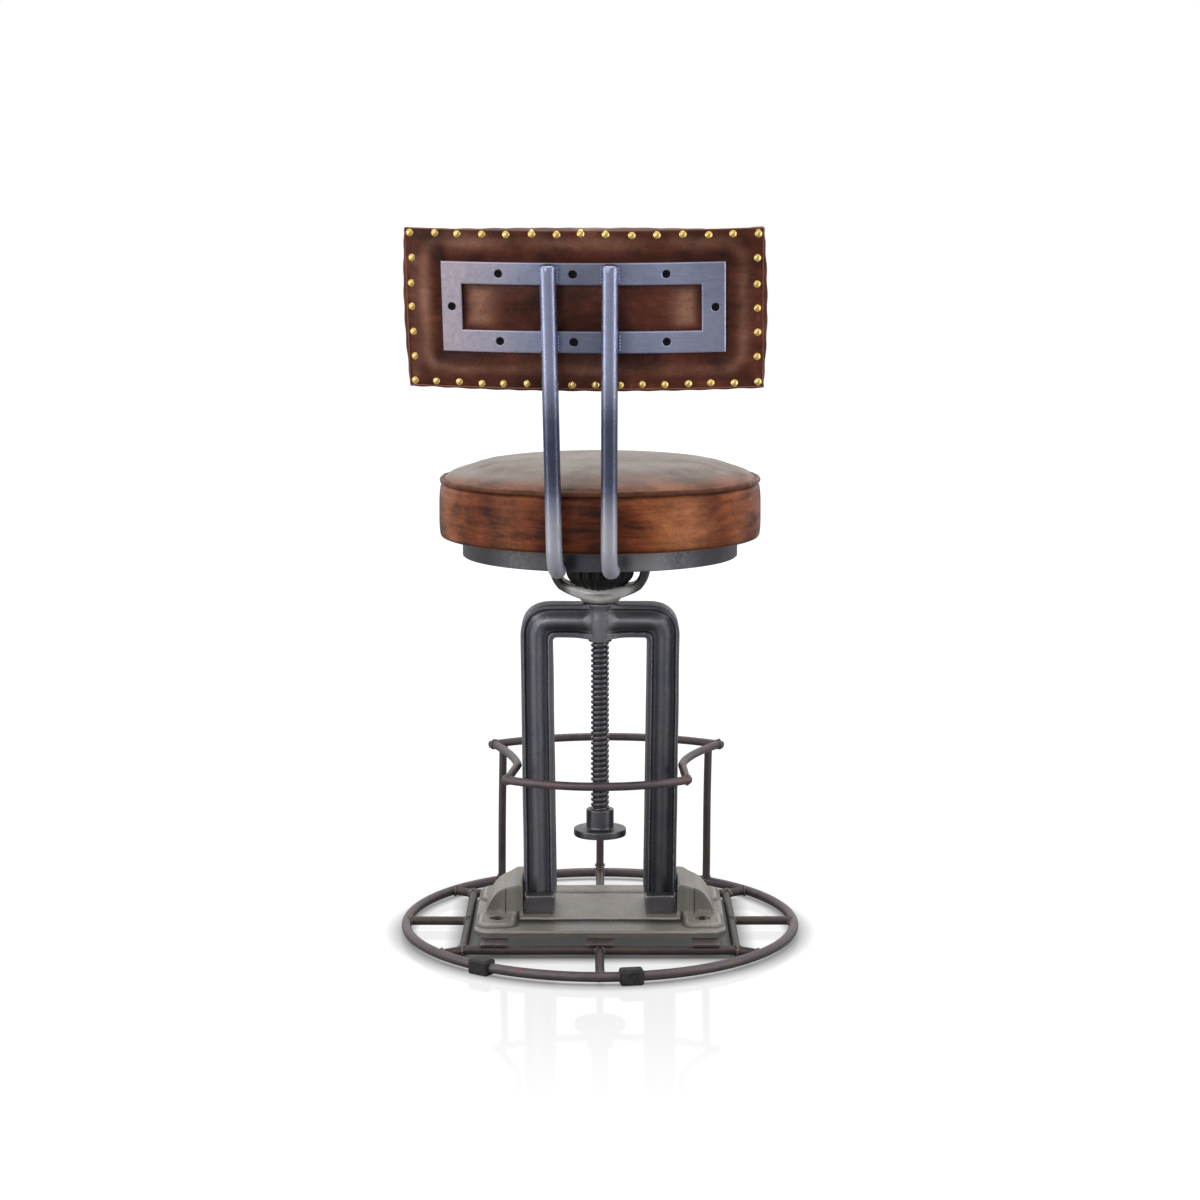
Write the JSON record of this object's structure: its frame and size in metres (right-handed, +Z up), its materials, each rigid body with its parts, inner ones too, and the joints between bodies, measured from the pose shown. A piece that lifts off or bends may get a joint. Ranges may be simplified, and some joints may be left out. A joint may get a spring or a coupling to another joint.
{
  "type": "screw-lift swivel chair",
  "caption": "Round padded seat and padded back on a threaded screw that turns in a cast clamp frame, on a cast plate with a round floor hoop and a footrest.",
  "frame": {"origin": "on the floor, under the middle of the space that the chair takes up; the screw axis is 13 mm in front of it", "axes": "+Z up; +Y the way the chair faces, away from its back; +X to its right"},
  "size_m": [0.4588, 0.4859, 0.8091],
  "materials": {
    "rod_steel": "satin",
    "plate_iron": "matte",
    "cast_iron": "satin",
    "glide_plastic": "matte",
    "screw_steel": "satin",
    "yoke_iron": "satin",
    "black_iron": "matte",
    "brushed_steel": "satin",
    "plywood": "matte",
    "seat_leather": "satin",
    "back_leather": "satin",
    "dark_screw": "satin"
  },
  "bodies": {
    "stand": {"base_ring": "rod_steel", "rail_front": "rod_steel", "rail_rear": "rod_steel", "rail_left": "rod_steel", "rail_right": "rod_steel", "spoke_front": "rod_steel", "spoke_rear": "rod_steel", "spoke_left": "rod_steel", "spoke_right": "rod_steel", "spoke_front_left": "rod_steel", "spoke_front_right": "rod_steel", "spoke_rear_left": "rod_steel", "spoke_rear_right": "rod_steel", "plate_tab_front_left": "rod_steel", "plate_tab_front_middle": "rod_steel", "plate_tab_front_right": "rod_steel", "plate_tab_rear_left": "rod_steel", "plate_tab_rear_middle": "rod_steel", "plate_tab_rear_right": "rod_steel", "footrest_front": "rod_steel", "footrest_rear": "rod_steel", "footrest_side_left": "rod_steel", "footrest_side_right": "rod_steel", "footrest_post_left": "rod_steel", "footrest_post_middle": "rod_steel", "footrest_post_right": "rod_steel", "tie_plate": "plate_iron", "clamp_frame": "cast_iron", "leg_foot_left": "cast_iron", "leg_foot_right": "cast_iron", "glide_left": "glide_plastic", "glide_right": "glide_plastic", "glide_front_left": "glide_plastic", "glide_front_right": "glide_plastic"},
    "pad": {"swivel_pad": "screw_steel"},
    "seat": {"lift_screw": "screw_steel", "seat_yoke": "yoke_iron", "ribbed_hub": "black_iron", "seat_pan": "brushed_steel", "seat_hoop": "brushed_steel", "back_upright_left": "brushed_steel", "back_upright_right": "brushed_steel", "back_frame": "brushed_steel", "seat_board": "plywood", "back_board": "plywood", "seat_cushion": "seat_leather", "back_cushion": "back_leather", "back_cover": "back_leather", "back_screw_top_left": "dark_screw", "back_screw_top_middle": "dark_screw", "back_screw_top_right": "dark_screw", "back_screw_bottom_left": "dark_screw", "back_screw_bottom_middle": "dark_screw", "back_screw_bottom_right": "dark_screw", "back_screw_left": "dark_screw", "back_screw_right": "dark_screw"}
  },
  "joints": [
    {"name": "seat_height", "type": "slide", "parent": "stand", "child": "pad", "axis": [0, 0, 1], "range_m": [0, 0.1861]},
    {"name": "seat_turn", "type": "hinge", "parent": "pad", "child": "seat", "pos_m": [0, 0.013, 0.13], "axis": [0, 0, 1], "range_deg": [0, 11160]}
  ],
  "couplings": [
    {"joint": "seat_height", "follows": "seat_turn", "m_per_rad": 0.00095493}
  ]
}
